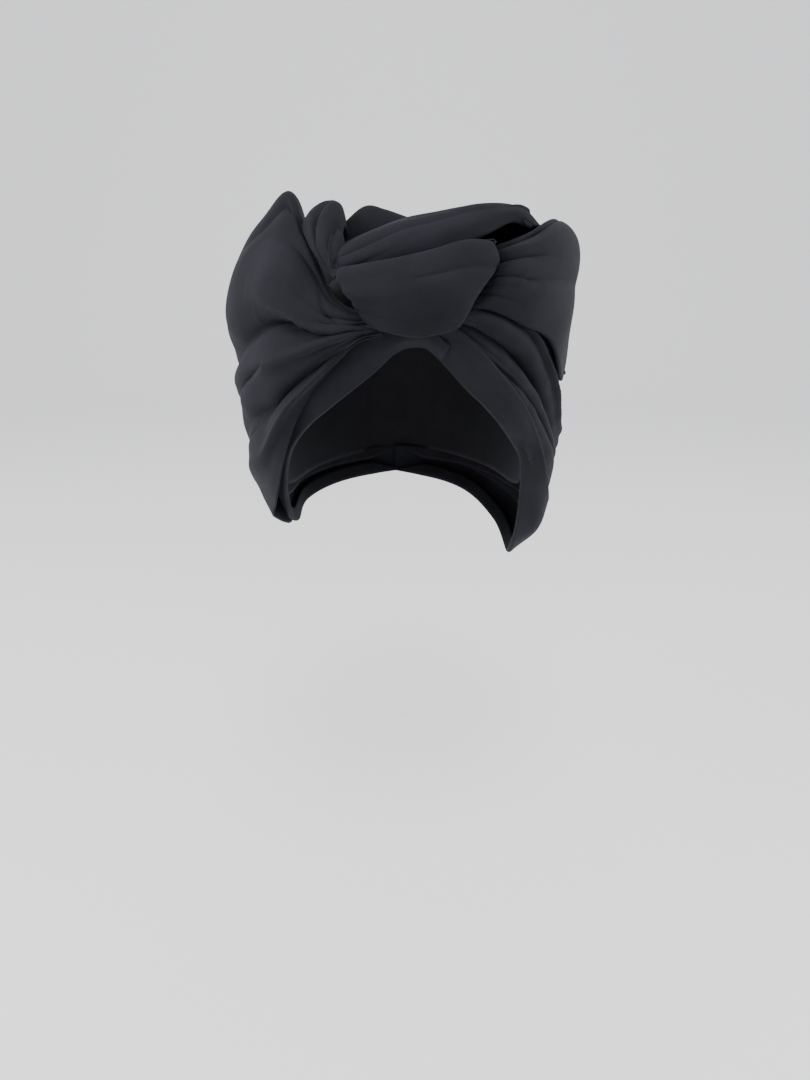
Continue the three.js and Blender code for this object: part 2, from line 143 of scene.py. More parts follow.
def pleated(grid, side, count, depth, reach, seed):
    """The sheet with fine pleats that run out from the gather where it starts."""
    u, v = even(grid.shape[0])[:, None], even(grid.shape[1])[None, :]
    along = u / reach
    wander = np.random.default_rng(seed).uniform(0, 2 * np.pi, 3)
    place = v * count + 0.5 * np.sin(5 * v + 2.5 * u + wander[0]) + 0.3 * np.sin(11 * v - 4 * u + wander[1])
    strong = 0.65 + 0.35 * np.sin(4 * v * np.pi + wander[2])
    pleat = np.abs(np.sin(np.pi * place)) ** 0.8 - 0.6
    fade = np.clip(along * 6, 0, 1) * np.exp(-(along**1.5))
    return grid + normals_of(grid, side) * (depth * MM * pleat * strong * fade)[..., None]

WAVES = 14
WAVES_TOGETHER = 3.7  # how high so many waves reach where they add up at random

def uneven(grid, side, size, depth, seed):
    """The sheet with slow dents and swells about size millimetres across."""
    rng = np.random.default_rng(seed)
    height = np.zeros(grid.shape[:2])
    for _ in range(WAVES):
        direction = rng.normal(size=3)
        direction /= np.linalg.norm(direction)
        length = size * MM * rng.uniform(0.6, 1.8)
        height += np.cos(grid @ direction * 2 * np.pi / length + rng.uniform(0, 2 * np.pi))
    return grid + normals_of(grid, side) * (height * depth * MM / WAVES_TOGETHER)[..., None]

creased = folded(swatch, 1, [(0, 1, 0.5, 0.5, 0.5, 0.1, -8, 0)])
print("the swatch with one crease in it is", round(float(np.ptp(creased[..., 2]) / MM), 1), "mm deep")

# %% [markdown]
# ## Turned edges
# A cut edge of cloth is never left open on such a wrap. It is turned under by about a centimetre, and
# that makes a soft, rounded edge. The sheet is carried on round a small half circle and back beneath
# itself. A bevel on a thick wall would look like cut foam instead.

# %% Turning an edge under
TURN_RADIUS = 1.0 * MM
TURN_DEPTH = 8 * MM
TURN_STEPS = 8
CORNER = 1 / 12     # the share of an edge over which the strip runs out to nothing, at each end
LEAST_TURN = 0.05   # how much of the turn is left at the very corner
CLOSING_IN = 0.3    # how far the strip comes back towards the cloth, in turn radii

def turned(grid, side, edge, radius=TURN_RADIUS, depth=TURN_DEPTH):
    """The sheet with one edge turned under: first or last across its columns, start or end along it.
    The turned strip runs out to nothing at the corners."""
    if edge in ("start", "end"):
        return turned(grid.swapaxes(0, 1), -side, {"start": "first", "end": "last"}[edge],
                      radius, depth).swapaxes(0, 1)
    if edge == "last":
        return turned(grid[:, ::-1], -side, "first", radius, depth)[:, ::-1]
    rim = grid[:, 0]
    out = rim - grid[:, 1]
    out /= np.linalg.norm(out, axis=-1, keepdims=True)
    normal = normals_of(grid, side)[:, 0]
    t = even(len(rim))
    ease = np.clip(np.minimum(t, 1 - t) / CORNER, LEAST_TURN, 1)[:, None]
    radius, depth = radius * ease, depth * ease
    arc = [rim + out * radius * math.sin(a) - normal * radius * (1 - math.cos(a))
           for a in np.linspace(0, np.pi, TURN_STEPS)[1:]]
    back = [arc[-1] - out * depth * s - normal * radius * CLOSING_IN * s for s in (0.25, 0.5, 0.75, 1.0)]
    return np.concatenate([np.stack((arc + back)[::-1], 1), grid], axis=1)

hemmed_swatch = turned(swatch, 1, "last")
print("turning one edge under adds", hemmed_swatch.shape[1] - swatch.shape[1], "columns to the swatch")

# %% [markdown]
# ## From a grid to cloth
# The grid becomes one mesh of four-sided faces with its own UV map, measured in metres along the
# threads, so that the weave keeps its real size wherever the cloth goes. Solidify then gives the sheet
# its thickness. Its faces must point outwards first, because the wall grows along their normals.

# %% Making a piece of cloth
CLOTH = 0.9 * MM
SAME_PLACE = 0.01 * MM  # points of a closed piece that are nearer than this are one

def flat_lengths(grid):
    """How far each point lies along and across the flat cloth, measured on the sheet itself."""
    along = np.linalg.norm(np.diff(grid, axis=0), axis=-1)
    across = np.linalg.norm(np.diff(grid, axis=1), axis=-1)
    u = np.concatenate([[0], np.cumsum(along.mean(axis=1))])
    v = np.concatenate([[0], np.cumsum(across.mean(axis=0))])
    return u, v

def surface_of(grid):
    """The area of the sheet, in square metres."""
    first = np.cross(grid[1:, :-1] - grid[:-1, :-1], grid[:-1, 1:] - grid[:-1, :-1])
    second = np.cross(grid[:-1, 1:] - grid[1:, 1:], grid[1:, :-1] - grid[1:, 1:])
    return float(np.linalg.norm(first, axis=-1).sum() + np.linalg.norm(second, axis=-1).sum()) / 2

def cloth_piece(node, grid, side=1, thickness=CLOTH, closed=False):
    """One piece of cloth that stands for a node of the frame."""
    rows, columns = grid.shape[:2]
    index = np.arange(rows * columns).reshape(rows, columns)
    faces = np.stack([index[:-1, :-1], index[1:, :-1], index[1:, 1:], index[:-1, 1:]], -1).reshape(-1, 4)
    if side < 0:
        faces = faces[:, ::-1]
    name = node + "_cloth"
    mesh = bpy.data.meshes.new(name)
    mesh.from_pydata(grid.reshape(-1, 3).tolist(), [], faces.tolist())
    u, v = flat_lengths(grid)
    place = np.stack(np.meshgrid(u, v, indexing="ij"), -1).reshape(-1, 2)
    threads = mesh.uv_layers.new(name="threads")
    threads.data.foreach_set("uv", place[faces.ravel()].astype(np.float32).ravel())
    piece = bpy.data.objects.new(name, mesh)
    bpy.context.collection.objects.link(piece)
    bpy.ops.object.select_all(action="DESELECT")
    bpy.context.view_layer.objects.active = piece
    piece.select_set(True)
    if closed:
        bpy.ops.object.mode_set(mode="EDIT")
        bpy.ops.mesh.select_all(action="SELECT")
        bpy.ops.mesh.remove_doubles(threshold=SAME_PLACE)
        bpy.ops.object.mode_set(mode="OBJECT")
    wall = piece.modifiers.new("wall", "SOLIDIFY")
    wall.thickness = thickness
    wall.offset = 0
    bpy.ops.object.modifier_apply(modifier=wall.name)
    piece.data.shade_smooth()
    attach(piece, "root")
    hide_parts(node)
    print(name, "flat about", round(float(u[-1]), 3), "by", round(float(v[-1]), 3), "m, surface",
          round(surface_of(grid), 4), "square metres,", len(piece.data.polygons), "faces")
    return piece

for what, sheet in (("flat", swatch), ("creased", creased)):
    print("the surface of the", what, "swatch is", round(surface_of(sheet), 5), "square metres")

# %% [markdown]
# ## The side panels
# Each panel is one wide piece of cloth. At the front it is gathered into the knot, so its folds start
# there and fan out. It swells over the side of the head, turns over a crest at the top, and comes down
# inside to the cap, where it is sewn. A cloth simulation could drop a flat sheet over a head, but it would
# not find these folds, because hands gathered them. So the sections are set one by one, and the folds
# laid on. The two panels share their last section, the seam at the back, and the folds that run to it.

# %% What both side panels share
PANEL_STEPS = (220, 160)
PANEL_COLUMNS = dict(hem=0, low=0.2, belly=0.42, high=0.64, crest=0.81, tuck=0.88, seam=1)
BACK_SEAM = (179.65, (98, -150), (107, -118), (112, -82), (105, -43), (81, -18), (68, -19), (66, -27))
SEAM_TURN = 0.5 * MM
BACK_FOLDS = [
    # start, end, across at the start, middle and end, width, depth, lean
    (0.40, 1.15, 0.60, 0.55, 0.50, 0.035, -5, 3),
    (0.55, 1.40, 0.37, 0.35, 0.32, 0.040, -6, 3),
    (0.50, 1.30, 0.18, 0.16, 0.14, 0.040, -5, -2),
]

def side_panel(node, side, rows, folds, pleats, seed):
    """A side panel: its form, its folds, its pleats at the knot, given as how many and how deep, and
    the unevenness of its cloth, broad and small, which is the same on both sides of the seam."""
    sheet = around_head(side, PANEL_COLUMNS, rows + [BACK_SEAM], PANEL_STEPS)
    sheet = folded(sheet, side, folds + BACK_FOLDS)
    sheet = pleated(sheet, side, *pleats, reach=0.14, seed=seed)
    sheet = uneven(sheet, side, 60, 0.9, seed=5)
    sheet = uneven(sheet, side, 24, 0.3, seed=25)
    return cloth_piece(node, turned(sheet, side, "end", SEAM_TURN), side)

print(len(BACK_FOLDS), "folds run round to the back seam")

# %% [markdown]
# ## The left side panel
# Its crest stands up in a peak beside the knot, and two deep creases run into the knot below it. Each
# section gives its places as pairs: how far out from the head's axis, and how high.

# %% The left side panel
LEFT_PANEL = [
    # turn, hem, low, belly, high, crest, tuck, seam
    (6, (94, -38), (95, -36), (95, -33), (95, -30), (93, -28), (90, -27), (84, -30)),
    (13, (97, -41), (98.5, -38), (100, -34), (98, -31), (94, -28), (88, -27), (80, -30)),
    (22, (97, -55), (101, -47), (102, -38), (100, -30), (92, -22), (83, -22), (74, -27)),
    (30, (98, -70), (102, -58), (103, -42), (100, -25), (88, -8), (79, -12), (69, -24)),
    (38, (98, -90), (103, -70), (104, -46), (100, -19), (84, 9), (75, 3), (63, -22)),
    (46, (97, -118), (103, -85), (104, -50), (100, -15), (80, 22), (71, 14), (60, -23)),
    (54, (94, -141), (102, -98), (104, -54), (99, -13), (77, 29), (68, 20), (58, -24)),
    (72, (86, -161), (102, -115), (105, -64), (103, -20), (80, 18), (69, 12), (58, -32)),
    (92, (77.5, -175), (101, -129), (104, -76), (105, -32), (85, 6), (71, 2), (59, -36)),
    (120, (88, -168), (102, -126), (105, -78), (104, -36), (82, -3), (70, -6), (61, -34)),
    (150, (96, -156), (105, -121), (110, -80), (104, -40), (81, -12), (69, -14), (63, -29)),
]
LEFT_FOLDS = [
    # start, end, across at the start, middle and end, width, depth, lean
    (0.00, 0.26, 0.42, 0.49, 0.53, 0.034, -10, 1),
    (0.15, 0.56, 0.54, 0.46, 0.42, 0.050, -8, 3),
    (0.01, 0.12, 0.48, 0.60, 0.76, 0.020, -6, -2),
    (0.00, 0.30, 0.44, 0.58, 0.62, 0.030, 4, -2),
    (0.01, 0.60, 0.34, 0.38, 0.36, 0.050, 4, 0),
    (0.00, 0.52, 0.04, 0.26, 0.25, 0.036, -13, -1.5),
    (0.05, 0.50, 0.06, 0.14, 0.13, 0.030, 4, 1),
    (0.22, 0.75, 0.38, 0.33, 0.30, 0.022, -5, 2),
    (0.30, 0.90, 0.24, 0.20, 0.20, 0.030, -4, 2),
    (0.15, 0.42, 0.88, 0.77, 0.72, 0.020, -5, 1),
    (0.12, 0.34, 0.80, 0.74, 0.70, 0.025, -3, 1),
]
left_panel = side_panel("left_side_panel", -1, LEFT_PANEL, LEFT_FOLDS, (12, 3), seed=3)

# %% [markdown]
# ## The right side panel
# This one is calmer, and the large loop hides its front above the belly. Its main folds come out from
# under the loop and sweep down beside the face, so it is lowest there.

# %% The right side panel
RIGHT_PANEL = [
    # turn, hem, low, belly, high, crest, tuck, seam
    (10, (88, -40), (91, -37), (92, -34), (92, -31), (91, -28), (88, -26), (82, -30)),
    (17, (90, -47), (93, -38), (99, -28), (94, -26), (92, -24), (88, -21), (78, -28)),
    (28, (92, -63), (96, -52), (102, -33), (93, -26), (87, -16), (82, -10), (68, -24)),
    (42, (93, -91), (98, -72), (102, -48), (93, -30), (82, -6), (75, -3), (60, -24)),
    (56, (92, -118), (99, -96), (101, -72), (94, -40), (79, 0), (71, 1), (57, -28)),
    (72, (90, -150), (99, -124), (99, -96), (94, -52), (77, 4), (69, 3), (58, -32)),
    (90, (87, -172), (98, -141), (100, -105), (96, -55), (78, 2), (69, -1), (59, -36)),
    (120, (90, -168), (101, -131), (105, -90), (100, -42), (81, -4), (70, -8), (61, -34)),
    (150, (95, -158), (105, -122), (110, -81), (104, -40), (81, -12), (69, -14), (63, -29)),
]
RIGHT_FOLDS = [
    # start, end, across at the start, middle and end, width, depth, lean
    (0.00, 0.40, 0.29, 0.34, 0.36, 0.038, -12, -1),
    (0.12, 0.60, 0.62, 0.43, 0.42, 0.025, 4, -2),
    (0.15, 0.55, 0.68, 0.49, 0.47, 0.022, -5, -2),
    (0.10, 0.60, 0.20, 0.24, 0.26, 0.030, -3, 1),
    (0.30, 0.95, 0.32, 0.28, 0.26, 0.030, -4, 2),
]
right_panel = side_panel("right_side_panel", 1, RIGHT_PANEL, RIGHT_FOLDS, (11, 2.5), seed=4)

# %% [markdown]
# ## The hem bands
# The edges round the face are folded double, which makes a firm band about two fingers wide. The right
# band lies on top of its panel. The left one comes out from under its panel, and crosses over the right
# one below the knot. They overlap a little at the back, where they are joined. A band could be a curve
# with a flat profile, but that would twist where the hem turns. A narrow sheet with both its edges turned
# under keeps facing outwards, and looks like the real hem.

# %% The hem bands
BAND_STEPS = (220, 30)
BAND_COLUMNS = dict(edge=0, middle=0.5, outer=1)
HEM_THICKNESS = 1.1 * MM
HEM_TURN = 1.3 * MM
LEFT_BAND = [
    # turn, edge, middle, outer
    (-14, (88, -51), (93, -47), (96, -43)),
    (-8, (85, -45), (90, -40), (92, -34)),
    (1, (86, -46), (90, -41), (91, -35)),
    (11, (89, -58), (92, -48), (91.5, -38)),
    (24, (92, -74), (95, -62), (94, -50)),
    (37, (91, -90), (94, -78), (94, -67)),
    (50, (88, -110), (92, -98), (92, -86)),
    (64, (83, -138), (89, -123), (90, -110)),
    (78, (78, -162), (83, -149), (86, -134)),
    (94, (74.5, -173), (79, -162), (82, -148)),
    (120, (83, -170), (87, -161), (90, -150)),
    (150, (88, -166), (93, -157), (95, -148)),
    (179.95, (90, -163), (94, -154), (96, -145)),
]
RIGHT_BAND = [
    # turn, edge, middle, outer
    (6, (79, -43), (85, -39), (89, -35)),
    (11, (83, -48), (91, -41), (96, -35)),
    (16, (86, -55), (94, -45), (98, -36)),
    (23, (90, -67), (96, -56), (98, -45)),
    (32, (92, -80), (97, -70), (99, -60)),
    (43, (91, -98), (97, -89), (99, -79)),
    (54, (88, -116), (94, -110), (98, -103)),
    (64, (83, -150), (92, -139), (98, -129)),
    (76, (77, -181), (91, -168), (97, -148)),
    (92, (75, -196), (90, -181), (96, -157)),
    (120, (79, -185), (91, -172), (97, -156)),
    (150, (86, -171), (94, -161), (98, -150)),
    (184, (88, -163), (92, -154), (94, -145)),
]

def hem_band(node, side, rows, seed):
    """A band round the face, with both its edges turned under."""
    sheet = around_head(side, BAND_COLUMNS, rows, BAND_STEPS)
    sheet = uneven(sheet, side, 45, 0.5, seed)
    for edge in ("first", "last"):
        sheet = turned(sheet, side, edge, HEM_TURN)
    return cloth_piece(node, sheet, side, HEM_THICKNESS)

left_band = hem_band("left_hem_band", -1, LEFT_BAND, seed=7)
right_band = hem_band("right_hem_band", 1, RIGHT_BAND, seed=8)

# %% [markdown]
# ## The knot
# The knot is not tied tight: one end of the cloth is wrapped flat round the front and once more over
# the top, like a wide ribbon. This is the turn round the front. Its lower edge is pulled in at both
# corners, where the panels are caught. It stands free of the head, so its sections are given as plain
# x, y and z, which reads more easily here than a turn and a distance.

# %% The knot's turn round the front
WRAP_COLUMNS = dict(under=0, lip=0.1, face=0.42, high=0.72, roll=0.86, back=1)
KNOT_WRAP = [
    # under, lip, face, high, roll, back
    ((-14, -86, -29), (-17, -88, -30), (-25, -86, -19), (-29, -83, -11), (-28, -79, -8), (-26, -75, -9)),
    ((-14, -91, -31), (-16, -96, -33), (-25, -97, -20), (-31, -95, -10), (-30, -91, -6), (-28, -83, -8)),
    ((-6, -92, -34), (-7, -101, -35), (-10, -105, -21), (-12, -102, -8), (-12, -97, -3), (-11, -87, -5)),
    ((10, -93, -36), (10, -102, -37), (11, -106, -20), (12, -103, -4), (12, -97, 2), (11, -87, -2)),
    ((23, -94, -33), (24, -102, -34), (29, -105, -18), (33, -101, 0), (33, -95, 7), (33, -84, 3)),
    ((28, -95, -30), (29, -100, -31), (39, -100, -15), (47, -94, -3), (44, -91, 6), (41, -82, 5)),
    ((27, -90, -28), (28, -93, -28), (37, -94, -14), (45, -87, -3), (42, -84, 4), (39, -77, 3)),
]
WRAP_FOLDS = [
    # start, end, across at the start, middle and end, width, depth, lean
    (0.15, 0.95, 0.30, 0.24, 0.34, 0.12, -2.2, 0),
    (0.05, 0.75, 0.50, 0.52, 0.62, 0.10, 1.2, 0),
    (0.45, 1.15, 0.62, 0.66, 0.74, 0.05, -1.2, 0),
]
wrap_sheet = through_points(WRAP_COLUMNS, KNOT_WRAP, (130, 100))
wrap_sheet = folded(wrap_sheet, 1, WRAP_FOLDS)
wrap_sheet = pleated(wrap_sheet, 1, 7, 1.4, 0.25, seed=9)
wrap_sheet = uneven(wrap_sheet, 1, 35, 0.35, seed=11)
knot_wrap = cloth_piece("knot_wrap", turned(turned(wrap_sheet, 1, "first"), 1, "last"))

# %% [markdown]
# ## The knot's top
# The second turn comes up from behind the first and arches over the knot from left to right, rising as
# it goes. Its right end is left open, and shows a dark hollow. The hollow is real space under the sheet,
# so it needs no dark paint.

# %% The knot's turn over the top
TOP_COLUMNS = dict(foot=0, face=0.2, crest=0.45, back=0.75, down=1)
KNOT_TOP = [
    # foot, face, crest, back, down
    ((-29, -88, -11), (-31, -89, -4), (-32, -82, 2), (-33, -70, 2), (-33, -60, -8)),
    ((-15, -92, -7), (-16, -92, 1), (-17, -83, 9), (-17, -68, 8), (-16, -56, -8)),
    ((3, -94, -4), (3, -93, 7), (3, -84, 16), (4, -68, 14), (5, -54, -6)),
    ((23, -93, 4), (23, -91, 13), (24, -81, 21), (25, -66, 18), (26, -52, -2)),
    ((42, -87, 11), (43, -85, 18), (45, -76, 24), (46, -62, 20), (45, -48, 0)),
    ((55, -78, 16), (57, -77, 20), (61, -70, 21), (60, -58, 17), (57, -45, 0)),
    ((64, -70, 13), (67, -69, 14), (71, -62, 13), (68, -52, 11), (62, -43, 0)),
]
TOP_FOLDS = [
    # start, end, across at the start, middle and end, width, depth, lean
    (0.0, 0.8, 0.30, 0.33, 0.30, 0.06, -1.5, 0),
    (0.3, 1.2, 0.50, 0.55, 0.50, 0.07, -1.5, 0),
]
top_sheet = through_points(TOP_COLUMNS, KNOT_TOP, (130, 90))
top_sheet = folded(top_sheet, 1, TOP_FOLDS)
top_sheet = pleated(top_sheet, 1, 5, 1.2, 0.3, seed=12)
top_sheet = uneven(top_sheet, 1, 35, 0.4, seed=13)
knot_top = cloth_piece("knot_top", turned(turned(top_sheet, 1, "first"), 1, "end"))

# %% [markdown]
# ## The right loop
# The ends of the cloth stand up round the knot as soft loops, gathered where they leave it. The right
# loop is the largest: it spreads over the side panel and ends in a wide folded edge, whose lower corner
# hangs free. A loop is really a flattened tube. One sheet whose edge is turned deeply under shows the
# same folded edge, and keeps clear of the panel behind it.

# %% The right loop
LOOP_TURN = 3 * MM
LOOP_TURN_DEPTH = 20 * MM
LOOP_COLUMNS = dict(low=0, swell=0.2, middle=0.4, high=0.6, ridge=0.8, tuck=1)
RIGHT_LOOP = [
    # low, swell, middle, high, ridge, tuck
    ((22, -84, -25), (28, -84, -19), (33, -83, -12), (37, -80, -5), (41, -76, 0), (43, -72, -4)),
    ((31, -91, -25), (38, -89, -18), (43, -87, -9), (48, -84, -1), (52, -80, 5), (53, -74, -1)),
    ((44, -91, -25), (50, -93, -17), (55, -92, -6), (59, -86, 3), (62, -77, 10), (60, -69, 3)),
    ((63, -82, -33), (69, -84, -20), (72, -81, -5), (75, -73, 7), (74, -63, 15), (70, -56, 6)),
    ((80, -65, -42), (86, -63, -26), (90, -58, -7), (90, -50, 9), (83, -44, 17), (77, -41, 8)),
    ((90, -47, -59), (97, -39, -38), (100, -33, -13), (98, -27, 5), (89, -26, 13), (80, -26, 5)),
    ((97, -22, -72), (102, -14, -47), (102, -9, -20), (96, -8, 0), (87, -10, 9), (79, -12, 3)),
    ((98, -2, -71), (102, 5, -46), (100, 9, -22), (93, 9, -5), (85, 5, 4), (78, 2, 2)),
]
LOOP_FOLDS = [
    # start, end, across at the start, middle and end, width, depth, lean
    (0.04, 0.70, 0.66, 0.70, 0.80, 0.035, -5, 3),
    (0.04, 0.60, 0.58, 0.60, 0.66, 0.05, 3, 0),
    (0.04, 0.50, 0.52, 0.50, 0.46, 0.03, -4, 1),
    (0.04, 0.45, 0.36, 0.34, 0.28, 0.03, -3, 1),
    (0.04, 0.40, 0.20, 0.18, 0.12, 0.03, -2, 0),
    (0.35, 1.10, 0.30, 0.36, 0.42, 0.08, -2.5, 0),
]
loop_sheet = through_points(LOOP_COLUMNS, RIGHT_LOOP, (160, 120))
loop_sheet = folded(loop_sheet, 1, LOOP_FOLDS)
loop_sheet = pleated(loop_sheet, 1, 11, 2.2, 0.2, seed=14)
loop_sheet = uneven(loop_sheet, 1, 45, 0.6, seed=15)
loop_sheet = turned(turned(loop_sheet, 1, "first"), 1, "end", LOOP_TURN, LOOP_TURN_DEPTH)
right_loop = cloth_piece("right_loop", loop_sheet)

# %% [markdown]
# ## The small loops
# Two smaller loops stand on the left, one beside the knot and one behind it. They are made in the same
# way, with fewer sections, and both their ends are turned under.

# %% The loop beside the knot
MIDDLE_COLUMNS = dict(root=0, face=0.25, high=0.5, crest=0.7, back=1)
MIDDLE_LOOP = [
    # root, face, high, crest, back
    ((-34, -85, -11), (-45, -74, 2), (-51, -62, 11), (-52, -52, 14), (-49, -42, 0)),
    ((-33, -88, -10), (-43, -77, 5), (-47, -66, 17), (-46, -56, 21), (-43, -43, 4)),
    ((-31, -89, -9), (-38, -80, 7), (-40, -69, 20), (-38, -60, 25), (-35, -45, 6)),
    ((-30, -89, -8), (-33, -81, 6), (-33, -71, 18), (-31, -61, 23), (-29, -47, 5)),
    ((-28, -86, -6), (-29, -80, 3), (-30, -73, 10), (-29, -64, 14), (-27, -53, 0)),
]
MIDDLE_FOLDS = [
    # start, end, across at the start, middle and end, width, depth, lean
    (0.10, 0.60, 0.10, 0.45, 0.62, 0.07, -3, 0),
    (0.45, 1.05, 0.15, 0.35, 0.55, 0.07, -3, 0),
]
middle_sheet = through_points(MIDDLE_COLUMNS, MIDDLE_LOOP, (80, 90))
middle_sheet = uneven(folded(middle_sheet, 1, MIDDLE_FOLDS), 1, 30, 0.4, seed=16)
middle_loop = cloth_piece("left_middle_loop", turned(turned(middle_sheet, 1, "start"), 1, "end"))

# %% The loop behind the knot
BACK_COLUMNS = dict(root=0, face=0.3, crest=0.6, back=1)
BACK_LOOP = [
    # root, face, crest, back
    ((-36, -58, -8), (-35, -58, 4), (-34, -53, 11), (-32, -42, -4)),
    ((-24, -61, -6), (-22, -61, 12), (-20, -54, 22), (-19, -40, 0)),
    ((-8, -60, -3), (-9, -61, 12), (-9, -54, 21), (-8, -40, 3)),
    ((6, -57, -3), (5, -59, 9), (5, -53, 17), (5, -41, 2)),
]
back_sheet = uneven(through_points(BACK_COLUMNS, BACK_LOOP, (70, 70)), 1, 30, 0.4, seed=17)
back_loop = cloth_piece("left_back_loop", turned(turned(back_sheet, 1, "start"), 1, "end"))

# %% [markdown]
# ## The cap
# Under it all is a close cap that fits the head. It shows at the crown, between the crests of the side
# panels, and inside. Its form is the head's own, an egg that is widest at its middle height. A sphere
# pulled to size would be near, but its rim would be level. Here each meridian runs up to the crown from
# its own height of the rim, which is high over the brow and low round the back.

# %% The cap
HEAD = dict(half_width=78, half_depth=98, crown=115, taper=0.00003)  # in millimetres
CAP_THICKNESS = 1.4 * MM
WALL_MIDDLE = 0.7   # how far outside the head the middle of the cap's wall lies
TO_THE_TOP = 0.999  # the last ring stops about a tenth of a millimetre short of the crown
CAP_RIM = dict(turn=[0, 25, 45, 65, 90, 125, 180], z=[-34, -54, -84, -116, -146, -150, -146])

def cap_grid(steps):
    """The cap's middle surface, from its rim up to the crown, all the way round."""
    turns = np.linspace(-180, 180, steps[0] + 1)
    rim = smooth(CAP_RIM["turn"], CAP_RIM["z"], np.abs(turns))
    crown = HEAD["crown"]
    over_crown = np.arccos(np.clip((rim + crown) / crown, -1, 1))
    rim_slope = np.where(rim > -crown, over_crown, np.pi / 2 - (rim + crown) / crown)
    slope = rim_slope[:, None] * (1 - TO_THE_TOP * even(steps[1] + 1))[None, :]
    over = slope < np.pi / 2
    z = np.where(over, (crown + WALL_MIDDLE) * np.cos(slope) - crown, -crown - (slope - np.pi / 2) * crown)
    share = np.where(over, np.sin(slope), 1 - HEAD["taper"] * (z + crown) ** 2)
    a = np.radians(turns)[:, None]
    x = -(HEAD["half_width"] + WALL_MIDDLE) * share * np.sin(a)
    y = -(HEAD["half_depth"] + WALL_MIDDLE) * share * np.cos(a)
    return np.stack([x, y, z], -1) * MM

cap = cloth_piece("crown_cap", cap_grid((180, 70)), -1, CAP_THICKNESS, closed=True)

# %% [markdown]
# ## How each sheet was cut
# Each piece of the real turban is cut flat before it is gathered, folded or sewn. The flat sizes are
# the lengths printed above, measured over the folds. The bands, the knot and the loops are strips. Each
# side panel is cut as a fan, narrow where it is caught in the knot, and the cap is cut in gores, so
# those three also state their area.

FLAT_SIZES = [
    # piece, width, length, area, how it is held, what it rests on
    (left_panel, 0.32, 0.29, 0.061, "gathered", ["knot_wrap", "crown_cap", "left_hem_band"]),
    (right_panel, 0.31, 0.28, 0.053, "gathered", ["knot_wrap", "crown_cap"]),
    (left_band, 0.353, 0.045, None, "folded", ["right_hem_band"]),
    (right_band, 0.345, 0.051, None, "folded", ["right_side_panel"]),
    (knot_wrap, 0.085, 0.077, None, "folded", ["left_side_panel", "right_loop"]),
    (knot_top, 0.119, 0.064, None, "folded", ["knot_wrap"]),
    (right_loop, 0.163, 0.092, None, "gathered", ["knot_wrap", "right_side_panel"]),
    (middle_loop, 0.05, 0.066, None, "gathered", ["knot_wrap", "left_side_panel"]),
    (back_loop, 0.063, 0.048, None, "folded", ["knot_top", "crown_cap"]),
    (cap, 0.40, 0.25, 0.062, "stretched", ["left_side_panel", "right_side_panel"]),
]
for piece, width, length, area, held, under in FLAT_SIZES:
    print(piece.name, "cut", width, "by", length, "m, area", area or round(width * length, 4))

# %% [markdown]
# ## The cloth's surface
# The wraps are a plain woven black cotton, and the cap a softer jersey. The weave is two sets of waves on
# the thread map, one for each set of threads, multiplied so that they cross. It raises the surface a
# tenth of a millimetre or so. A little sheen catches the light on the ridges, and a slow noise makes the
# dye uneven, as washed black cotton is. A painted texture would blur close up, and would need an image.
# The hem bands also carry a row of stitches: short dents in a line about 4 mm in from the face's edge.

# %% A helper for the materials
def calculated(nodes, links, operation, first, second=0.0):
    """A node that calculates with two values, each a number or another node's output."""
    node = nodes.new("ShaderNodeMath")
    node.operation = operation
    for socket, value in zip(node.inputs, (first, second)):
        if isinstance(value, (int, float)):
            socket.default_value = value
        else:
            links.new(value, socket)
    return node.outputs[0]

# %% The stitches
STITCHES_ACROSS = 16 * MM  # from where the thread map starts, at the end of the strip turned under
STITCH_HALF_WIDTH = 0.35 * MM
STITCH_EVERY = 2.8 * MM
STITCH_SHARE = 0.72        # how much of each step the thread covers
STITCH_DEPTH = 2.5         # in heights of the weave

def stitched(nodes, links, threads, height):
    """The height of the cloth with a row of stitches pressed into it."""
    place = nodes.new("ShaderNodeSeparateXYZ")
    links.new(threads, place.inputs[0])
    across = calculated(nodes, links, "SUBTRACT", place.outputs["Y"], STITCHES_ACROSS)
    away = calculated(nodes, links, "ABSOLUTE", across)
    in_line = calculated(nodes, links, "LESS_THAN", away, STITCH_HALF_WIDTH)
    steps = calculated(nodes, links, "DIVIDE", place.outputs["X"], STITCH_EVERY)
    step = calculated(nodes, links, "FRACT", steps)
    thread = calculated(nodes, links, "LESS_THAN", step, STITCH_SHARE)
    stitch = calculated(nodes, links, "MULTIPLY", in_line, thread)
    pressed = calculated(nodes, links, "MULTIPLY", stitch, STITCH_DEPTH)
    return calculated(nodes, links, "SUBTRACT", height, pressed)

print("stitches", STITCHES_ACROSS, "m across the hem bands, one every", STITCH_EVERY, "m")

# %% The black cloth
WAVE_AT_SCALE_1 = 2 * math.pi / 20  # how far apart a wave texture's bands lie at a scale of 1
WEAVE_HEIGHT = 0.2 * MM
WEAVE_STRENGTH = 0.5
CLOUDS_PER_METRE = 40

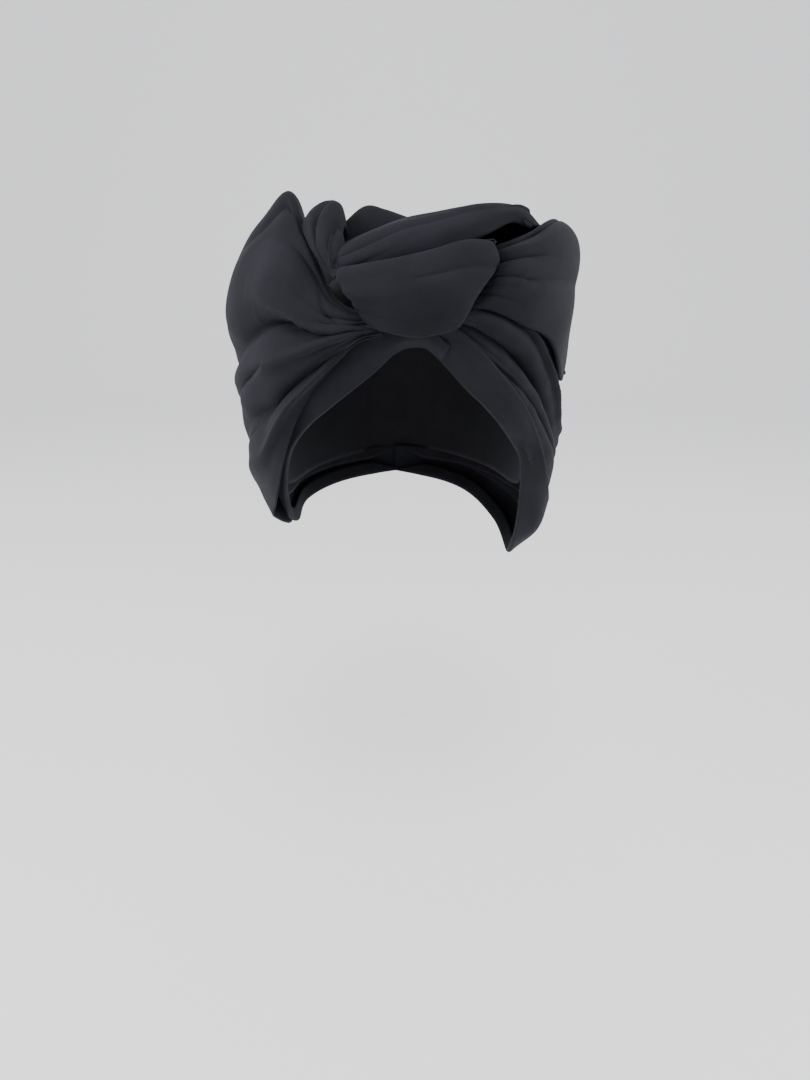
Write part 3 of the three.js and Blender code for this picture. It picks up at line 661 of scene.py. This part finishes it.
def black_cloth(name, pitch, dark, light, with_stitches=False):
    """Black cloth with threads a pitch apart, and its dye between dark and light."""
    material = bpy.data.materials.new(name)
    material.use_nodes = True
    nodes, links = material.node_tree.nodes, material.node_tree.links
    shader = nodes["Principled BSDF"]
    shader.inputs["Roughness"].default_value = 0.8
    shader.inputs["Specular IOR Level"].default_value = 0.18
    shader.inputs["Sheen Weight"].default_value = 0.03
    shader.inputs["Sheen Roughness"].default_value = 0.4
    shader.inputs["Sheen Tint"].default_value = (0.7, 0.75, 1, 1)
    threads = nodes.new("ShaderNodeUVMap")
    threads.uv_map = "threads"
    heights = []
    for direction in ("X", "Y"):
        wave = nodes.new("ShaderNodeTexWave")
        wave.bands_direction = direction
        wave.inputs["Scale"].default_value = WAVE_AT_SCALE_1 / pitch
        wave.inputs["Distortion"].default_value = 0
        links.new(threads.outputs["UV"], wave.inputs["Vector"])
        heights.append(wave.outputs["Fac"])
    height = calculated(nodes, links, "MULTIPLY", *heights)
    if with_stitches:
        height = stitched(nodes, links, threads.outputs["UV"], height)
    raised = nodes.new("ShaderNodeBump")
    raised.inputs["Strength"].default_value = WEAVE_STRENGTH
    raised.inputs["Distance"].default_value = WEAVE_HEIGHT
    links.new(height, raised.inputs["Height"])
    links.new(raised.outputs["Normal"], shader.inputs["Normal"])
    place = nodes.new("ShaderNodeTexCoord")
    cloudy = nodes.new("ShaderNodeTexNoise")
    cloudy.inputs["Scale"].default_value = CLOUDS_PER_METRE
    cloudy.inputs["Detail"].default_value = 4
    links.new(place.outputs["Object"], cloudy.inputs["Vector"])
    shades = nodes.new("ShaderNodeValToRGB")
    shades.color_ramp.elements[0].position = 0.3
    shades.color_ramp.elements[0].color = dark
    shades.color_ramp.elements[1].position = 0.7
    shades.color_ramp.elements[1].color = light
    links.new(cloudy.outputs["Fac"], shades.inputs["Fac"])
    links.new(shades.outputs["Color"], shader.inputs["Base Color"])
    return material

# %% Dye the pieces
COTTON_PITCH = 0.5 * MM
JERSEY_PITCH = 0.7 * MM
COTTON_DYE = (0.0042, 0.0042, 0.0068, 1), (0.0078, 0.0078, 0.012, 1)
JERSEY_DYE = (0.005, 0.005, 0.007, 1), (0.008, 0.008, 0.011, 1)
woven = black_cloth("black_woven_cotton", COTTON_PITCH, *COTTON_DYE)
hemmed = black_cloth("black_cotton_hem", COTTON_PITCH, *COTTON_DYE, with_stitches=True)
jersey = black_cloth("black_jersey", JERSEY_PITCH, *JERSEY_DYE)
for piece in (left_panel, right_panel, knot_wrap, knot_top, right_loop, middle_loop, back_loop):
    piece.data.materials.append(woven)
for piece in (left_band, right_band):
    piece.data.materials.append(hemmed)
cap.data.materials.append(jersey)
print("threads", COTTON_PITCH, "m apart in the cotton and", JERSEY_PITCH, "m in the jersey")

# %% [markdown]
# ## The studio
# The turban was made to be seen worn, at the height of a head, so the floor lies half a metre below it.
# The floor turns up into a wall in one wide curve, as a roll of pale paper does in a studio, so that no
# line crosses the picture. It is only a stage and not part of the object.

# %% Floor and backdrop
FLOOR_Z = -0.487
FRONT_Y = -5.0
HALF_WIDTH = 5.0
BEND = 1.2
BEND_POINTS = 25
WALL_Y = 3.0
WALL_TOP = 4.5
profile = [(FRONT_Y, FLOOR_Z)]
profile += [(WALL_Y - BEND + BEND * math.sin(a), FLOOR_Z + BEND - BEND * math.cos(a))
            for a in np.linspace(0, math.pi / 2, BEND_POINTS)]
profile += [(WALL_Y, WALL_TOP)]
paper = bpy.data.meshes.new("paper_roll")
paper.from_pydata([(x, y, z) for y, z in profile for x in (-HALF_WIDTH, HALF_WIDTH)], [],
                  [(2 * i, 2 * i + 1, 2 * i + 3, 2 * i + 2) for i in range(len(profile) - 1)])
floor = bpy.data.objects.new("floor", paper)
bpy.context.collection.objects.link(floor)
paper.shade_smooth()
pale = bpy.data.materials.new("pale_paper")
pale.use_nodes = True
shader = pale.node_tree.nodes["Principled BSDF"]
shader.inputs["Base Color"].default_value = (0.86, 0.86, 0.87, 1)
shader.inputs["Roughness"].default_value = 0.9
paper.materials.append(pale)
print("stage", len(paper.polygons), "faces")

# %% [markdown]
# ## Light
# The light is that of a white room with two windows: a broad lamp on each side, a little in front and
# above, and one over the front, so that each ridge is lit and each crease falls dark. Black cloth needs
# them small enough to shape it, and a bright room about it to keep the paper pale.

# %% Lamps and the room
LIT_POINT = Vector((0, 0, -0.08))

def soft_light(name, place, size, power):
    """A square lamp, aimed at the middle of the turban."""
    bpy.ops.object.light_add(type="AREA", location=place)
    light = bpy.context.object
    light.name = name
    light.data.size = size
    light.data.energy = power
    light.rotation_euler = (LIT_POINT - Vector(place)).to_track_quat("-Z", "Y").to_euler()
    print(name, power, "W,", round((LIT_POINT - Vector(place)).length, 2), "m away")

soft_light("left_window", (-1.4, -0.5, 0.7), 0.9, 22)
soft_light("right_window", (1.4, -0.3, 0.6), 0.9, 14)
soft_light("over_head", (0, -0.8, 1.4), 0.6, 14)
world = bpy.data.worlds.new("room")
bpy.context.scene.world = world
world.use_nodes = True
room = world.node_tree.nodes["Background"]
room.inputs["Color"].default_value = (0.93, 0.94, 0.96, 1)
room.inputs["Strength"].default_value = 1.3

# %% [markdown]
# ## Camera
# The camera stands about half a metre in front, above the brow, and looks down at twenty-two degrees, so
# the opening, the knot and the tops of the loops show together. Its lens is a short one, close to the
# subject, which makes the front swell a little towards the viewer.

# %% The camera
CAMERA_PLACE = (0.0015, -0.481, 0.010)
LOOKING_DOWN = math.radians(22.3)
LENS = 24.93
SENSOR = 36
NEAREST = 0.01
bpy.ops.object.camera_add(location=CAMERA_PLACE, rotation=(math.pi / 2 - LOOKING_DOWN, 0, 0))
camera = bpy.context.object
camera.data.lens = LENS
camera.data.sensor_width = SENSOR
camera.data.clip_start = NEAREST
bpy.context.scene.camera = camera
print("camera", CAMERA_PLACE, "lens", LENS)
